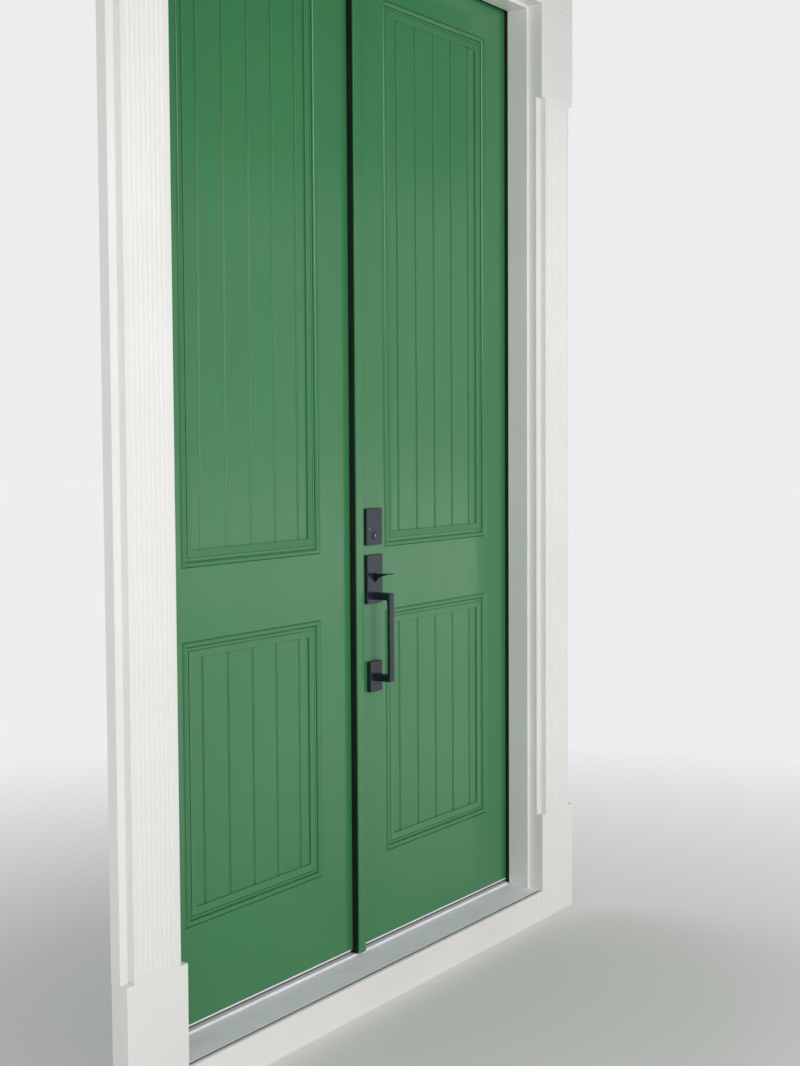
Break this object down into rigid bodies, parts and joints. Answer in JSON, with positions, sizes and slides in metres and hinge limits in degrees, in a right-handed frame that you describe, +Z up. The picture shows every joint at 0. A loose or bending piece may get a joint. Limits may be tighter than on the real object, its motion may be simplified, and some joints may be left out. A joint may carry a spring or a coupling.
{
  "type": "double entry door with frame",
  "caption": "Pair of tall panelled entry leaves hung in a rebated frame, with stopped flutes on square pilasters, a proud astragal and a lever handle set.",
  "frame": {"origin": "midway between the two leaves, in the plane of their outer faces, on the underside of the sill", "axes": "+Z up, -Y out of the building (the outside of the door), +X to the right seen from outside"},
  "size_m": [1.922, 0.2226, 2.736],
  "materials": {
    "white_trim_paint": "satin",
    "green_leaf_paint": "gloss",
    "black_astragal": "satin",
    "black_rubber": "matte",
    "sill_metal": "satin",
    "bright_metal": "polished",
    "satin_steel": "satin",
    "dark_hardware": "satin"
  },
  "bodies": {
    "frame": {"left_jamb": "white_trim_paint", "right_jamb": "white_trim_paint", "head_jamb": "white_trim_paint", "sill": "sill_metal", "threshold_cap": "bright_metal", "sill_apron": "white_trim_paint", "left_back_board": "white_trim_paint", "right_back_board": "white_trim_paint", "left_fluted_board": "white_trim_paint", "right_fluted_board": "white_trim_paint", "left_plinth_block": "white_trim_paint", "right_plinth_block": "white_trim_paint", "left_top_block": "white_trim_paint", "right_top_block": "white_trim_paint", "head_board": "white_trim_paint", "frame_seals": "black_rubber", "bolt_strikes": "satin_steel", "hinge_frame_plates": "satin_steel"},
    "right_leaf": {"right_hinge_stile": "green_leaf_paint", "right_meeting_stile": "green_leaf_paint", "right_top_rail": "green_leaf_paint", "right_lock_rail": "green_leaf_paint", "right_bottom_rail": "green_leaf_paint", "right_upper_panel": "green_leaf_paint", "right_lower_panel": "green_leaf_paint", "right_upper_mouldings": "green_leaf_paint", "right_lower_mouldings": "green_leaf_paint", "right_door_sweep": "black_rubber", "right_hinge_plates": "satin_steel", "deadbolt_plate": "dark_hardware", "handle_plate": "dark_hardware", "grip": "dark_hardware", "lower_plate": "dark_hardware", "inside_roses": "dark_hardware", "lock_cases": "satin_steel"},
    "left_leaf": {"left_hinge_stile": "green_leaf_paint", "left_meeting_stile": "green_leaf_paint", "left_top_rail": "green_leaf_paint", "left_lock_rail": "green_leaf_paint", "left_bottom_rail": "green_leaf_paint", "left_upper_panel": "green_leaf_paint", "left_lower_panel": "green_leaf_paint", "left_upper_mouldings": "green_leaf_paint", "left_lower_mouldings": "green_leaf_paint", "left_door_sweep": "black_rubber", "left_hinge_plates": "satin_steel", "astragal_post": "black_astragal", "astragal_cover": "green_leaf_paint", "astragal_seal": "black_rubber", "lock_strikes": "satin_steel"},
    "thumb_lever_body": {"thumb_lever": "dark_hardware"},
    "latch_bolt_body": {"latch_bolt": "satin_steel"},
    "inside_knob_body": {"inside_knob": "dark_hardware"},
    "thumb_turn_body": {"thumb_turn": "dark_hardware"},
    "deadbolt_body": {"deadbolt": "satin_steel"},
    "key_plug_body": {"key_plug": "dark_hardware"},
    "top_bolt_body": {"top_slide_bolt": "satin_steel"},
    "bottom_bolt_body": {"bottom_slide_bolt": "satin_steel"}
  },
  "joints": [
    {"name": "right_leaf_hinge", "type": "hinge", "parent": "frame", "child": "right_leaf", "pos_m": [0.778, 0.053, 1.267], "axis": [0, 0, -1], "range_deg": [0, 100]},
    {"name": "left_leaf_hinge", "type": "hinge", "parent": "frame", "child": "left_leaf", "pos_m": [-0.778, 0.053, 1.267], "axis": [0, 0, 1], "range_deg": [0, 100]},
    {"name": "thumb_lever_pivot", "type": "hinge", "parent": "right_leaf", "child": "thumb_lever_body", "pos_m": [0.085, -0.0045, 0.964], "axis": [-1, 0, 0], "range_deg": [0, 13]},
    {"name": "latch_slide", "type": "slide", "parent": "right_leaf", "child": "latch_bolt_body", "axis": [-1, 0, 0], "range_m": [0, 0.0127]},
    {"name": "inside_knob_turn", "type": "hinge", "parent": "right_leaf", "child": "inside_knob_body", "pos_m": [0.085, 0.0526, 0.956], "axis": [0, 1, 0], "range_deg": [0, 45]},
    {"name": "thumb_turn_pivot", "type": "hinge", "parent": "right_leaf", "child": "thumb_turn_body", "pos_m": [0.085, 0.0526, 1.064], "axis": [0, 1, 0], "range_deg": [0, 90]},
    {"name": "deadbolt_slide", "type": "slide", "parent": "right_leaf", "child": "deadbolt_body", "axis": [-1, 0, 0], "range_m": [0, 0.0254]},
    {"name": "key_plug_turn", "type": "hinge", "parent": "right_leaf", "child": "key_plug_body", "pos_m": [0.085, 0, 1.064], "axis": [0, 1, 0], "range_deg": [0, 90]},
    {"name": "top_bolt_slide", "type": "slide", "parent": "left_leaf", "child": "top_bolt_body", "axis": [0, 0, 1], "range_m": [0, 0.016]},
    {"name": "bottom_bolt_slide", "type": "slide", "parent": "left_leaf", "child": "bottom_bolt_body", "axis": [0, 0, -1], "range_m": [0, 0.016]}
  ],
  "couplings": [
    {"joint": "latch_slide", "follows": "thumb_lever_pivot", "m_per_rad": 0.05597},
    {"joint": "inside_knob_turn", "follows": "thumb_lever_pivot", "ratio": 3.4615},
    {"joint": "deadbolt_slide", "follows": "thumb_turn_pivot", "m_per_rad": 0.01617},
    {"joint": "key_plug_turn", "follows": "thumb_turn_pivot", "ratio": 1}
  ]
}
